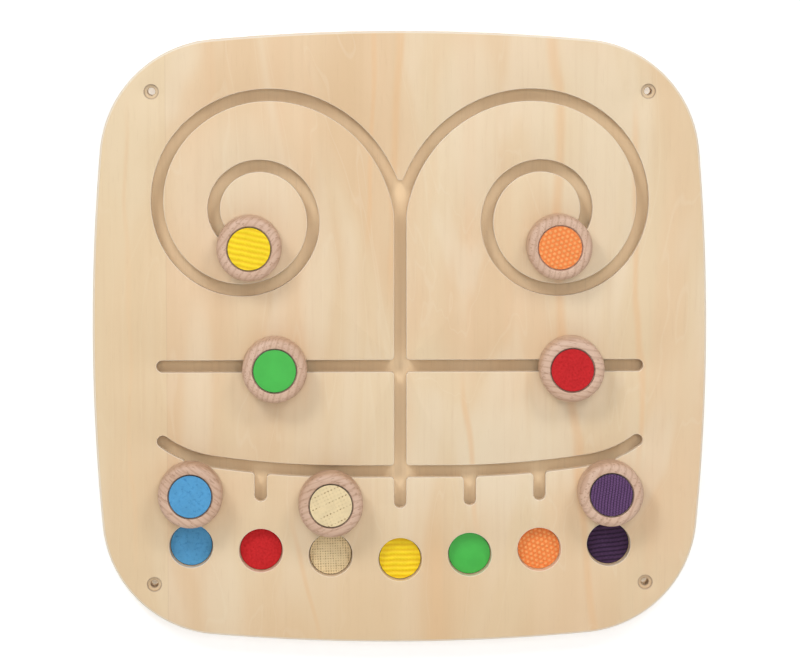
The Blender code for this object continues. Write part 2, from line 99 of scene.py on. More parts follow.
# Knobs; a row is an extra ring that keeps a rounding's shading off the straight wall beside it
KNOB_BASE = 0.0265
KNOB_RADIUS = 0.0315
KNOB_BASE_RADIUS = 0.002
KNOB_SHOULDER_RADIUS = 0.0055
KNOB_SIDE_ROW = 0.015
RECESS_RADIUS = 0.022
RECESS_DEPTH = 0.004
RECESS_LIP_RADIUS = 0.0005
RECESS_ROW = 0.0015
STEM_RADIUS = 0.0045
STEM_ROW = 0.001
STEM_HOLE_RADIUS = 0.0021
STEM_HOLE_PAST_SCREW = 0.0003

# Texture plates
PLATE_RIM = 0.0006
PLATE_RIM_STEPS = (0.35, 0.7, 1.0)
DISC_INSET = 0.0004
PATCH_INSET = 0.0003
MILLIMETRES = 1000

# Fineness: points on a line, steps of a rounding, sides of a round
SIDE_POINTS = 22
CORNER_POINTS = 40
LOOP_POINTS = 300
BEND_POINTS = 24
HOOK_POINTS = 14
CORNER_STEPS = 7
END_STEPS = 15
ARRIS_STEPS = 4
EDGE_STEPS = 7
SHOULDER_STEPS = 10
HEEL_STEPS = 6
ROUND_SIDES = 96
BORE_SIDES = 48
SCREW_HOLE_SIDES = 16
PLATE_SIDES = 180
PLATE_RINGS = 46

# Tolerances
PARALLEL = 1e-15
WELD = 1e-7
SAME_POINT = 0.00002
SMILE_GAP = 0.0005
SMALL_STEP = 0.001

NOISE_SEED = 7

COLOURS = ("blue", "red", "beige", "yellow", "green", "orange", "purple")


# Shapes


def circle(centre, radius, count):
    """Closed ring of points, and its outward normals: angle steps of one turn over the count."""
    turn = np.arange(count) * 2 * math.pi / count
    normals = np.stack([np.cos(turn), np.sin(turn)], 1)
    return np.array(centre) + normals * radius, normals


def arc_points(centre, radius, start, end, count):
    """Points on an arc, both ends included: centre plus radius times (cos, sin) of even angle steps."""
    turn = np.linspace(start, end, count)
    return np.stack([centre[0] + radius * np.cos(turn), centre[1] + radius * np.sin(turn)], 1)


def board_outline():
    """Four long side arcs joined by corner arcs that touch them; the normals point into the board.

    Each corner's centre lies as far from the centres of its two side arcs as the radii differ.
    """
    offset = HALF_BOARD - SIDE_ARC_RADIUS
    spread = math.hypot(offset, offset)
    reach = math.sqrt((SIDE_ARC_RADIUS - CORNER_ARC_RADIUS) ** 2 - spread**2 / 4) / spread
    corner = offset / 2 - offset * reach
    low = math.atan2(corner, corner - offset)
    high = math.pi / 2 - low
    side = arc_points((offset, 0), SIDE_ARC_RADIUS, 0, low, SIDE_POINTS)
    bend = arc_points((corner, corner), CORNER_ARC_RADIUS, low, high, CORNER_POINTS)
    top = arc_points((0, offset), SIDE_ARC_RADIUS, high, math.pi / 2, SIDE_POINTS)
    quarter = np.concatenate([side, bend[1:], top[1:]])
    half = np.concatenate([quarter, quarter[-2::-1] * (-1, 1)])
    points = np.concatenate([half, half[-2:0:-1] * (1, -1)])
    along = np.roll(points, -1, 0) - np.roll(points, 1, 0)
    along /= np.linalg.norm(along, axis=1)[:, None]
    return points, np.stack([-along[:, 1], along[:, 0]], 1)


def loop_line(side):
    """Centre line of a loop: the radius about its centre shrinks by a steady rate with the angle.

    The angle's steps grow as the radius shrinks.
    """
    rate = LOOP_SHRINK / 2
    step = np.linspace(0, 1, LOOP_POINTS) * (1 - math.exp(-rate * LOOP_SWEEP))
    turn = -np.log(1 - step) / rate
    radius = LOOP_START_RADIUS * np.exp(-LOOP_SHRINK * turn)
    across = side * (LOOP_START_RADIUS - radius * np.cos(turn))
    return np.stack([across, LOOP_CENTRE_UP + radius * np.sin(turn)], 1)


def smile_line():
    """Centre line of the smile, left to right: flat, a wide bend, then a tight hook on either side."""
    hook_start = SLOT_REACH - SMILE_HOOK_REACH
    bend_end = math.asin((hook_start - SMILE_FLAT_HALF) / SMILE_BEND_RADIUS)
    hook_end = math.asin(math.sin(bend_end) + SMILE_HOOK_REACH / SMILE_HOOK_RADIUS)
    down = -math.pi / 2
    bend_centre = (SMILE_FLAT_HALF, SMILE_UP + SMILE_BEND_RADIUS)
    bend = arc_points(bend_centre, SMILE_BEND_RADIUS, down, down + bend_end, BEND_POINTS)
    lift = SMILE_BEND_RADIUS - SMILE_HOOK_RADIUS
    hook_centre = (
        SMILE_FLAT_HALF + lift * math.sin(bend_end),
        SMILE_UP + SMILE_BEND_RADIUS - lift * math.cos(bend_end),
    )
    hook = arc_points(hook_centre, SMILE_HOOK_RADIUS, down + bend_end, down + hook_end, HOOK_POINTS)
    half = np.concatenate([bend, hook[1:]])
    return np.concatenate([half[::-1] * (-1, 1), half])


def straight(start, end):
    """Two-point line."""
    return np.array([start, end], float)


def part_of_smile(smile, low, high):
    """Stretch of the smile between two places across the board, from low to high."""
    inner = smile[(smile[:, 0] > low + SMILE_GAP) & (smile[:, 0] < high - SMILE_GAP)]
    ends = np.array([(x, np.interp(x, smile[:, 0], smile[:, 1])) for x in (low, high)])
    return np.concatenate([ends[:1], inner, ends[1:]])


def right_of(line):
    """Unit normals to the right of travel at each point of a line."""
    along = np.gradient(line, axis=0)
    along /= np.linalg.norm(along, axis=1)[:, None]
    return np.stack([along[:, 1], -along[:, 0]], 1)


def meeting(first, second):
    """Where two lines cross: the place along each, in points and fractions, and the crossing itself."""
    p, r = first[:-1, None], (first[1:] - first[:-1])[:, None]
    q, s = second[None, :-1], (second[1:] - second[:-1])[None]
    gap = q - p
    cross = r[..., 0] * s[..., 1] - r[..., 1] * s[..., 0]
    cross = np.where(np.abs(cross) < PARALLEL, PARALLEL, cross)
    t = (gap[..., 0] * s[..., 1] - gap[..., 1] * s[..., 0]) / cross
    u = (gap[..., 0] * r[..., 1] - gap[..., 1] * r[..., 0]) / cross
    i, j = np.argwhere((t >= 0) & (t <= 1) & (u >= 0) & (u <= 1))[0]
    return i + t[i, j], j + u[i, j], first[i] + t[i, j] * (first[i + 1] - first[i])


def slot_walk():
    """Centre lines in the order of a walk through all the slots that keeps to the right-hand wall.

    Each comes with True where the walk turns round at its end, and False where it turns a corner.
    """
    left, right = loop_line(-1), loop_line(1)
    smile = smile_line()
    top = (0, LOOP_CENTRE_UP)
    bar_left, bar_right = (-SLOT_REACH, CROSSBAR_UP), (SLOT_REACH, CROSSBAR_UP)
    walk = [(left, True)]
    walk.append((np.concatenate([left[::-1], straight(top, (0, CROSSBAR_UP - PAST))[1:]]), False))
    walk.append((straight((PAST, CROSSBAR_UP), bar_left), True))
    walk.append((straight(bar_left, (PAST, CROSSBAR_UP)), False))
    walk.append((straight((0, CROSSBAR_UP + PAST), (0, SMILE_UP - PAST)), False))
    walk.append((part_of_smile(smile, smile[0, 0], PAST)[::-1], True))
    start = smile[0, 0]
    for number in range(-3, 4):
        x = number * NOTCH_PITCH
        up = np.interp(x, smile[:, 0], smile[:, 1]) + PAST
        end = (x, NOTCH_ENDS[abs(number)])
        walk.append((part_of_smile(smile, start, x + PAST / 2), False))
        walk.append((straight((x, up), end), True))
        walk.append((straight(end, (x, up)), False))
        start = x - PAST / 2
    walk.append((part_of_smile(smile, start, smile[-1, 0]), True))
    walk.append((part_of_smile(smile, -PAST, smile[-1, 0])[::-1], False))
    walk.append((straight((0, SMILE_UP - PAST), (0, CROSSBAR_UP + PAST)), False))
    walk.append((straight((-PAST, CROSSBAR_UP), bar_right), True))
    walk.append((straight(bar_right, (-PAST, CROSSBAR_UP)), False))
    walk.append((np.concatenate([straight((0, CROSSBAR_UP - PAST), top)[:1], right]), True))
    walk.append((right[::-1], False))
    return walk


def between(line, start, end):
    """Points of a line between two places along it, both ends included."""
    places = np.arange(math.floor(start) + 1, math.ceil(end))
    places = np.concatenate([[start], places[(places > start) & (places < end)], [end]])
    index = np.arange(len(line))
    return np.stack([np.interp(places, index, line[:, k]) for k in (0, 1)], 1)


def slot_wall():
    """The one closed wall round all the slots, with normals into the board.

    A wall runs half a slot's width beside the centre line. A corner is an arc about the crossing of the
    two lines that run a corner radius further out, and a slot's end is a half circle.
    """
    walk = slot_walk()
    normals = [right_of(line) for line, _ in walk]
    outer = [line + n * (SLOT_HALF_WIDTH + CORNER_RADIUS) for (line, _), n in zip(walk, normals)]
    starts = [0.0] * len(walk)
    ends = [len(line) - 1.0 for line, _ in walk]
    pivots = {}
    for i, (_, turns_round) in enumerate(walk):
        j = (i + 1) % len(walk)
        if not turns_round:
            ends[i], starts[j], pivots[i] = meeting(outer[i], outer[j])
    points, into = [], []
    for i, (line, _) in enumerate(walk):
        n = between(normals[i], starts[i], ends[i])
        n /= np.linalg.norm(n, axis=1)[:, None]
        points.append(between(line, starts[i], ends[i]) + n * SLOT_HALF_WIDTH)
        into.append(n)
        if i in pivots:
            j = (i + 1) % len(walk)
            second = -between(normals[j], starts[j], starts[j] + SMALL_STEP)[0]
            around = turned_round(-n[-1], second, CORNER_STEPS)
            points.append(around * CORNER_RADIUS + pivots[i])
            into.append(-around)
        else:
            around = turned_round(n[-1], -n[-1], END_STEPS, half_turn=True)
            points.append(around * SLOT_HALF_WIDTH + line[-1])
            into.append(around)
    points, into = np.concatenate(points), np.concatenate(into)
    keep = np.linalg.norm(points - np.roll(points, 1, 0), axis=1) > SAME_POINT
    return points[keep], into[keep]


def turned_round(first, second, count, half_turn=False):
    """Unit vectors between two directions, ends left out: the short way, or half a turn to the left."""
    start = math.atan2(first[1], first[0])
    sweep = (math.atan2(second[1], second[0]) - start + math.pi) % (2 * math.pi) - math.pi
    if half_turn:
        sweep = math.pi
    turn = start + sweep * np.arange(1, count) / count
    return np.stack([np.cos(turn), np.sin(turn)], 1)


def quarter_round(radius, level, count):
    """Rows (inset, out) of a quarter round from the flat face down to the wall."""
    turn = np.linspace(math.pi / 2, 0, count)
    return [(radius * (1 - math.cos(t)), level - radius * (1 - math.sin(t))) for t in turn]


class Shell:
    """Vertices and faces of a piece while it is made."""

    def __init__(self):
        self.vertices = np.zeros((0, 3))
        self.faces = []

    def join(self, first, second):
        """Four-sided faces between two closed rows of indices."""
        self.faces += np.stack([first, second, np.roll(second, -1), np.roll(first, -1)], 1).tolist()

    def rows(self, points, normals, profile):
        """Sweep rows of (inset, out) round a closed line, and give the indices of each row."""
        made = []
        for inset, out in profile:
            ring = points + normals * inset
            made.append(np.arange(len(ring)) + len(self.vertices))
            level = np.full(len(ring), -out)
            self.vertices = np.concatenate([self.vertices, np.stack([ring[:, 0], level, ring[:, 1]], 1)])
        for first, second in zip(made, made[1:]):
            self.join(first, second)
        return made

    def cap(self, loops):
        """Fill the flat between closed loops.

        All their points are joined up in triangles, and those stay whose middle has an odd number of
        the loops' edges to its right.
        """
        index = np.concatenate(loops)
        edges = []
        for loop in loops:
            here = np.arange(len(loop)) + len(edges)
            edges += zip(here.tolist(), np.roll(here, -1).tolist())
        flat = self.vertices[index][:, (0, 2)]
        made = delaunay_2d_cdt([Vector(p) for p in flat], edges, [], 0, WELD)
        origin = np.array([ids[0] for ids in made[3]])
        faces = origin[np.array(made[2])]
        middles = flat[faces].mean(1)
        p, q = flat[np.array(edges)].transpose(1, 0, 2)
        beside = (p[:, 1] > middles[:, 1:]) != (q[:, 1] > middles[:, 1:])
        rise = np.where(p[:, 1] == q[:, 1], 1, q[:, 1] - p[:, 1])
        crossing = p[:, 0] + (middles[:, 1:] - p[:, 1]) * (q[:, 0] - p[:, 0]) / rise
        walls = (beside & (crossing > middles[:, :1])).sum(1)
        self.faces += index[faces[walls % 2 == 1]].tolist()

    def pole(self, ring, point):
        """Close a ring of indices to one point."""
        tip = np.full(len(ring), len(self.vertices))
        self.vertices = np.concatenate([self.vertices, [point]])
        self.faces += np.stack([ring, np.roll(ring, -1), tip], 1).tolist()


def new_piece(name, shell, crease, flat=None):
    """Mesh object with its faces turned outwards, and sharp edges where they bend by the crease angle.

    The faces are smooth, but for those of the slice `flat`.
    """
    mesh = bpy.data.meshes.new(name)
    mesh.from_pydata(shell.vertices.tolist(), [], shell.faces)
    bm = bmesh.new()
    bm.from_mesh(mesh)
    bmesh.ops.recalc_face_normals(bm, faces=bm.faces)
    bm.to_mesh(mesh)
    bm.free()
    smooth = np.ones(len(mesh.polygons), bool)
    if flat:
        smooth[flat] = False
    mesh.polygons.foreach_set("use_smooth", smooth)
    mesh.set_sharp_from_angle(angle=math.radians(crease))
    obj = bpy.data.objects.new(name, mesh)
    bpy.context.scene.collection.objects.link(obj)
    return obj


def middle_of(node):
    """Middle (x, z) of a node, and its levels out of the wall."""
    low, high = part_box(node)
    return np.array([(low.x + high.x) / 2, (low.z + high.z) / 2]), -high.y, -low.y


def make_face_panel():
    """Routed face: closed lines swept straight back from eased arrises, with the flats between filled."""
    shell = Shell()
    down = [(0, WALL_ROW), (0, PANEL_BACK)]
    wall = quarter_round(ARRIS_RADIUS, PANEL_FRONT, ARRIS_STEPS) + down
    edge = quarter_round(EDGE_RADIUS, PANEL_FRONT, EDGE_STEPS) + down
    ledge = PANEL_FRONT - COUNTERBORE_DEPTH
    step = BORE_RADIUS - COUNTERBORE_RADIUS
    bore = quarter_round(COUNTERBORE_ARRIS, PANEL_FRONT, ARRIS_STEPS)
    bore += [(0, ledge), (step, ledge), (step, PANEL_BACK)]
    made = [shell.rows(*board_outline(), edge), shell.rows(*slot_wall(), wall)]
    for colour in COLOURS:
        middle, _, _ = middle_of(f"window_patch_{colour}")
        made.append(shell.rows(*circle(middle, WINDOW_RADIUS, ROUND_SIDES), wall))
    for x in (-BORE_PLACE, BORE_PLACE):
        for z in (-BORE_PLACE, BORE_PLACE):
            made.append(shell.rows(*circle((x, z), COUNTERBORE_RADIUS, BORE_SIDES), bore))
    backs = [rows[-1] for rows in made]
    for number in range(1, BACK_SCREWS + 1):
        middle, _, _ = middle_of(f"back_screw_{number:02d}")
        hole = [(0, PANEL_BACK), (0, SCREW_HOLE_LEVELS[0])]
        rows = shell.rows(*circle(middle, SCREW_HOLE_RADIUS, SCREW_HOLE_SIDES), hole)
        shell.pole(rows[-1], (middle[0], -SCREW_HOLE_LEVELS[1], middle[1]))
        backs.append(rows[0])
    walls = len(shell.faces)
    shell.cap([rows[0] for rows in made])
    shell.cap(backs)
    piece = new_piece("routed_face_panel", shell, 40, slice(walls, len(shell.faces)))
    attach(piece, "board")
    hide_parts("front_panel")
    return piece


def make_knob(colour):
    """Turned beech knob: its profile of (radius, out) goes round the knob's axis in even steps."""
    middle, stem_end, top = middle_of(f"knob_{colour}")
    _, _, screw_tip = middle_of(f"knob_screw_{colour}")
    tip = screw_tip + STEM_HOLE_PAST_SCREW
    lip = top - RECESS_LIP_RADIUS
    floor = top - RECESS_DEPTH
    rows = [(RECESS_RADIUS * k / 4, floor) for k in (1, 2, 3, 4)]
    rows += [(RECESS_RADIUS, lip - RECESS_ROW), (RECESS_RADIUS, lip)]
    rim = (RECESS_RADIUS + RECESS_LIP_RADIUS, lip)
    shoulder = (KNOB_RADIUS - KNOB_SHOULDER_RADIUS, top - KNOB_SHOULDER_RADIUS)
    heel = (KNOB_RADIUS - KNOB_BASE_RADIUS, KNOB_BASE + KNOB_BASE_RADIUS)
    quarter = math.pi / 2
    rows += [*arc_points(rim, RECESS_LIP_RADIUS, math.pi, quarter, ARRIS_STEPS)[1:]]
    rows += [*arc_points(shoulder, KNOB_SHOULDER_RADIUS, quarter, 0, SHOULDER_STEPS)]
    rows += [(KNOB_RADIUS, KNOB_BASE + KNOB_SIDE_ROW)]
    rows += [*arc_points(heel, KNOB_BASE_RADIUS, 0, -quarter, HEEL_STEPS)]
    rows += [(STEM_RADIUS + STEM_ROW, KNOB_BASE), (STEM_RADIUS, KNOB_BASE), (STEM_RADIUS, stem_end)]
    rows += [(STEM_HOLE_RADIUS, stem_end), (STEM_HOLE_RADIUS, tip)]
    shell = Shell()
    made = shell.rows(*circle(middle, 0, ROUND_SIDES), rows)
    shell.pole(made[0], (middle[0], -floor, middle[1]))
    shell.pole(made[-1], (middle[0], -tip, middle[1]))
    piece = new_piece(f"turned_knob_{colour}", shell, 50)
    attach(piece, f"{colour}_knob")
    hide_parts(f"knob_{colour}")
    return piece


# Reliefs: depth below the top in millimetres, for a place in millimetres and a turn in degrees


def arches(across, pitch, depth, sharpness=2.0):
    """Row of round ridges: an arch over each pitch, with a narrow groove between two."""
    side = np.abs(2 * ((across / pitch) % 1.0) - 1)
    return depth * (1 - (1 - side**sharpness) ** 0.5)


def rotated(x, z, degrees):
    """Coordinates along and across a direction."""
    a = math.radians(degrees)
    return x * math.cos(a) + z * math.sin(a), z * math.cos(a) - x * math.sin(a)


def sampled(function, x, z):
    """Value of a noise function at each place."""
    flat = [function(Vector((a, b, 0.0))) for a, b in zip(x.ravel(), z.ravel())]
    return np.array(flat).reshape(x.shape)


def corrugated(x, z, turn):
    """Soft round ribs, slightly wavy along their length: a cosine across, with a wandering phase."""
    pitch, half_depth = 5.3, 0.40
    u, v = rotated(x, z, turn)
    phase = v + 0.16 * np.sin(u * 0.35) + 0.14 * np.sin(u * 1.9 + v)
    return half_depth * (1 - np.cos(2 * math.pi * phase / pitch))


def dotted(x, z, turn):
    """Round bumps on a grid of equal triangles: half a ball, flattened, about the nearest grid point."""
    pitch, bump, height = 4.85, 1.75, 0.9
    u, v = rotated(x, z, turn)
    row = pitch * math.sqrt(3) / 2
    nearest = np.full(np.shape(u), np.inf)
    for shift in (0, 1):
        k = np.round((v / row - shift) / 2) * 2 + shift
        j = np.round(u / pitch - shift / 2) + shift / 2
        nearest = np.minimum(nearest, np.hypot(u - j * pitch, v - k * row))
    return height * (1 - np.sqrt(np.clip(1 - (nearest / bump) ** 2, 0, 1)))


def crowned(x, z, turn):
    """Smooth face, a touch higher in the middle: it drops with the square of the distance."""
    drop, edge_squared = 0.35, 450
    return drop * (x**2 + z**2) / edge_squared


def felted(x, z, turn):
    """Uneven pressed felt: four layers of noise, each about twice as fine as the last."""
    depth, scale = 0.35, 0.45
    u, v = rotated(x, z, turn)
    return depth * (0.5 + 0.5 * sampled(lambda p: noise.fractal(p * scale, 0.9, 2.1, 4), u, v))


def crinkled(x, z, turn):
    """Fine hide: large cells with thin shallow creases where two are equally near."""
    crease_width, crease_depth, swell = 0.16, 0.36, 0.10
    u, v = rotated(x, z, turn)

    def flat_part(p):
        """0 in a crease, where the two nearest cells are equally far, and 1 beyond its width."""
        bent = p * 0.24 + noise.noise_vector(p * 0.3) * 0.9
        near = noise.voronoi(bent)[0]
        return min(near[1] - near[0], crease_width) / crease_width

    broad = sampled(lambda p: noise.noise(p * 0.3), u, v)
    creases = (1 - sampled(flat_part, u, v)) * np.clip(0.5 + 1.5 * broad, 0, 1)
    return crease_depth * creases + swell * (1 + broad)


def woven(x, z, turn):
    """Coarse cloth: two crossing sets of threads, with rows of small holes that open and close."""
    thread, gap_pitch = 1.75, 3.5
    u, v = rotated(x, z, turn)
    cloth = 0.16 * (1 - np.cos(2 * math.pi * u / thread) * np.cos(2 * math.pi * v / thread))
    du = ((u / gap_pitch + 0.5) % 1.0 - 0.5) * gap_pitch
    dv = ((v / gap_pitch + 0.5) % 1.0 - 0.5) * gap_pitch
    open_rows = np.where(np.round(v / gap_pitch) % 3 == 1, 1.0, 0.25)
    broad = sampled(lambda p: noise.noise(p * 0.09 + Vector((3.1, 1.7, 0))), u, v)
    patchy = np.clip(0.7 + 1.6 * broad, 0.1, 1)
    gaps = np.exp(-((du / 0.75) ** 2 + (dv / 0.45) ** 2)) * open_rows * patchy
    lines = 0.12 * np.exp(-((dv / 0.3) ** 2)) + 0.12 * np.exp(-((du / 0.3) ** 2))
    return cloth + lines * patchy + 0.85 * gaps


def crosshatched(x, z, turn):
    """The cloth's coarser side: threads both ways, uneven in weight, with small holes between them."""
    thread = 2.5
    u, v = rotated(x, z, turn)

    def uneven(p):
        """Weight of a thread, drawn out along it."""
        return noise.noise(Vector((p.x * 0.45, p.y * 0.10, 5.0)))

    heavy = [np.clip(0.5 + 1.6 * sampled(uneven, *pair), 0, 1) for pair in ((u, v), (v, u))]
    rows = [np.abs(np.cos(math.pi * w / thread)) ** 8 for w in (u, v)]
    return 0.38 * rows[0] * heavy[0] + 0.33 * rows[1] * heavy[1] + 0.6 * rows[0] * rows[1] + 0.10


def knitted(x, z, turn):
    """Fine knitting: narrow cords with raised stitches, a half step apart from cord to cord."""
    pitch, stitch_length = 2.9, 2.4
    u, v = rotated(x, z, turn)
    v = v + 0.18 * np.sin(u * 0.21)
    stitch = np.cos(2 * math.pi * u / stitch_length + math.pi * np.floor(v / pitch))
    return arches(v, pitch, 0.80, 1.6) + 0.19 * (1 - stitch)


def corded(x, z, turn):
    """The same cloth's corduroy side: soft broad cords, nibbled along their length."""
    pitch, depth = 4.3, 0.42
    u, v = rotated(x, z, turn)
    uneven = sampled(lambda p: noise.noise(Vector((p.x * 0.5, p.y * 1.6, 0))), u, v)
    return arches(v + 0.25 * np.sin(u * 0.21), pitch, depth) + 0.16 * (1 + uneven) + 0.42


# Word for the texture, its relief, its turn in the knob and in the window, and its deepest place
RELIEFS = {
    "blue": ("leather", crinkled, 20, 65, 0.6),
    "red": ("felt", felted, 10, 50, 0.4),
    "beige": ("canvas", woven, 25, 2, 1.0),
    "yellow": ("corrugated", corrugated, -12, 1, 0.9),
    "green": ("smooth", crowned, 0, 0, 0.4),
    "orange": ("dotted", dotted, 17, 40, 0.9),
    "purple": ("corduroy", knitted, 84, 7, 1.0),
}

# Cloths whose other side shows in the window
WINDOW_RELIEFS = {"beige": crosshatched, "purple": corded}


def keep_mask(piece, name, values):
    """Keep a value from 0 to 1 on each vertex of a piece."""
    mask = piece.data.attributes.new(name, "FLOAT", "POINT")
    mask.data.foreach_set("value", np.clip(values, 0, 1).astype(np.float32))


def make_round_plate(name, node, inset, relief, turn, deepest):
    """Round plate in a node's place: rings of even width, lowered by a relief, and an eased rim.

    Its vertices keep two masks: relief goes from 0 at the top to 1 in the deepest place, and cut_edge is
    1 on the rim and below it.
    """
    middle, bottom, top = middle_of(node)
    low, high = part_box(node)
    radius = (high.x - low.x) / 2 - inset
    inner = radius - PLATE_RIM
    shell = Shell()
    points, normals = circle(middle, 0, PLATE_SIDES)
    levels, masks = [], []
    for r in np.linspace(inner / PLATE_RINGS, inner, PLATE_RINGS):
        depth = relief(*(normals * r * MILLIMETRES).T, turn)
        levels.append(top - depth / MILLIMETRES)
        masks.append(depth / deepest)
        shell.rows(points, normals, [(r, top)])
    edge_level, edge_mask = levels[-1], masks[-1]
    for t in PLATE_RIM_STEPS:
        drop = PLATE_RIM * (1 - math.sqrt(max(0.0, 1 - t * t)))
        levels.append(np.minimum(edge_level, top - drop))
        masks.append(edge_mask)
        shell.rows(points, normals, [(inner + PLATE_RIM * t, top)])
    for r in (radius, radius * 0.5):
        levels.append(np.full(PLATE_SIDES, bottom))
        masks.append(np.zeros(PLATE_SIDES))
        shell.rows(points, normals, [(r, bottom)])
    shell.vertices[:, 1] = -np.concatenate(levels)
    rows = [np.arange(PLATE_SIDES) + PLATE_SIDES * k for k in range(len(levels))]
    for first, second in zip(rows, rows[1:]):
        shell.join(first, second)
    centre = float(relief(np.zeros(1), np.zeros(1), turn)[0])
    shell.pole(rows[0], (middle[0], -(top - centre / MILLIMETRES), middle[1]))
    shell.pole(rows[-1], (middle[0], -bottom, middle[1]))
    piece = new_piece(name, shell, 60)
    keep_mask(piece, "relief", np.concatenate(masks + [[centre / deepest], [0.0]]))
    on_top = np.zeros(PLATE_RINGS * PLATE_SIDES)
    below = np.ones((len(levels) - PLATE_RINGS) * PLATE_SIDES)
    keep_mask(piece, "cut_edge", np.concatenate([on_top, below, [0.0, 1.0]]))
    return piece


def make_textures(colour):
    """A colour's disc in its knob and its patch in the window."""
    word, relief, knob_turn, window_turn, deepest = RELIEFS[colour]
    window_relief = WINDOW_RELIEFS.get(colour, relief)
    made = []
    for kind, node, body, shape, turn, inset in (
        ("disc", f"disc_{colour}", f"{colour}_knob", relief, knob_turn, DISC_INSET),
        ("patch", f"window_patch_{colour}", "board", window_relief, window_turn, PATCH_INSET),
    ):
        piece = make_round_plate(f"{word}_{kind}_{colour}", node, inset, shape, turn, deepest)
        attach(piece, body)
        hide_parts(node)
        made.append(piece)
    return made


# Materials


class Tree:
    """Small help for wiring shader nodes."""

    def __init__(self, tree):
        self.tree = tree

    def add(self, kind, inputs=None, **settings):
        """Add a node; an input is a value or another node's output socket."""
        node = self.tree.nodes.new(kind)
        for key, value in settings.items():
            setattr(node, key, value)
        for key, value in (inputs or {}).items():
            if isinstance(value, bpy.types.NodeSocket):
                self.tree.links.new(value, node.inputs[key])
            else:
                node.inputs[key].default_value = value
        return node

    def math(self, operation, a, b=0.0):
        """Value of one maths step."""
        return self.add("ShaderNodeMath", {0: a, 1: b}, operation=operation).outputs[0]

    def noise(self, vector, scale, detail=2.0, rough=0.5, distort=0.0):
        """Noise value between 0 and 1."""
        inputs = {"Vector": vector, "Scale": scale, "Detail": detail}
        inputs |= {"Roughness": rough, "Distortion": distort}
        return self.add("ShaderNodeTexNoise", inputs).outputs["Fac"]

    def stretch(self, vector, scale):
        """Coordinates stretched by a factor along each axis."""
        return self.add("ShaderNodeMapping", {"Vector": vector, "Scale": scale}).outputs[0]

    def ramp(self, value, low, high, bottom=0.0, top=1.0):
        """Value mapped smoothly from one range to another."""
        inputs = {"Value": value, "From Min": low, "From Max": high, "To Min": bottom, "To Max": top}
        node = self.add("ShaderNodeMapRange", inputs, interpolation_type="SMOOTHSTEP")
        return node.outputs["Result"]

    def mix(self, factor, a, b):
        """Colour between two others, by a factor."""
        node = self.add("ShaderNodeMix", data_type="RGBA")
        for number, value in ((0, factor), (6, a), (7, b)):
            if isinstance(value, bpy.types.NodeSocket):
                self.tree.links.new(value, node.inputs[number])
            elif number:
                node.inputs[number].default_value = (*value, 1.0)
            else:
                node.inputs[number].default_value = value
        return node.outputs[2]

    def tint(self, colour, mask, share, tone):
        """Colour drawn towards a tone, by a share of a mask."""
        return self.mix(self.math("MULTIPLY", mask, share), colour, tone)

    def swayed(self, value, noise, reach):
        """Value moved to and fro by a noise."""
        return self.math("ADD", value, self.math("MULTIPLY", self.math("SUBTRACT", noise, 0.5), reach))

    def apart(self, a, b):
        """Distance between two values."""
        return self.math("ABSOLUTE", self.math("SUBTRACT", a, b))

    def bump(self, height, distance, strength):
        """Normal from a height, in metres."""
        inputs = {"Height": height, "Distance": distance, "Strength": strength}
        return self.add("ShaderNodeBump", inputs).outputs[0]


def new_material(name):
    """Material with an empty tree but for its shader."""
    material = bpy.data.materials.new(name)
    material.use_nodes = True
    tree = Tree(material.node_tree)
    shader = material.node_tree.nodes["Principled BSDF"]
    place = tree.add("ShaderNodeTexCoord").outputs["Object"]
    return material, tree, shader, place


def wire(tree, shader, colour=None, roughness=None, normal=None):
    """Join colour, roughness and normal to the shader."""
    for key, value in (("Base Color", colour), ("Roughness", roughness), ("Normal", normal)):
        if value is not None:
            tree.tree.links.new(value, shader.inputs[key])


def grain_group():
    """Shared wood fields: broad tone, fine figure and short dark pores along one direction.

    Coordinates come in with the grain along Z.
    """
    group = bpy.data.node_groups.new("wood_grain", "ShaderNodeTree")
    group.interface.new_socket("Vector", in_out="INPUT", socket_type="NodeSocketVector")
    for name in ("Tone", "Figure", "Pores"):
        group.interface.new_socket(name, in_out="OUTPUT", socket_type="NodeSocketFloat")
    tree = Tree(group)
    source = tree.add("NodeGroupInput").outputs[0]
    tone = tree.noise(tree.stretch(source, (1, 1, 0.07)), 22, 3, 0.55, 0.3)
    figure = tree.noise(tree.stretch(source, (1, 1, 0.035)), 240, 3, 0.6, 0.15)
    pores = tree.noise(tree.stretch(source, (1, 1, 0.055)), 900, 1, 0.5)
    out = tree.add("NodeGroupOutput")
    group.links.new(tone, out.inputs["Tone"])
    group.links.new(figure, out.inputs["Figure"])
    group.links.new(tree.ramp(pores, 0.62, 0.78), out.inputs["Pores"])
    return group


def wood_fields(tree, vector):
    """Outputs of the shared wood group."""
    node = tree.add("ShaderNodeGroup", node_tree=GRAIN)
    tree.tree.links.new(vector, node.inputs["Vector"])
    return node.outputs["Tone"], node.outputs["Figure"], node.outputs["Pores"]


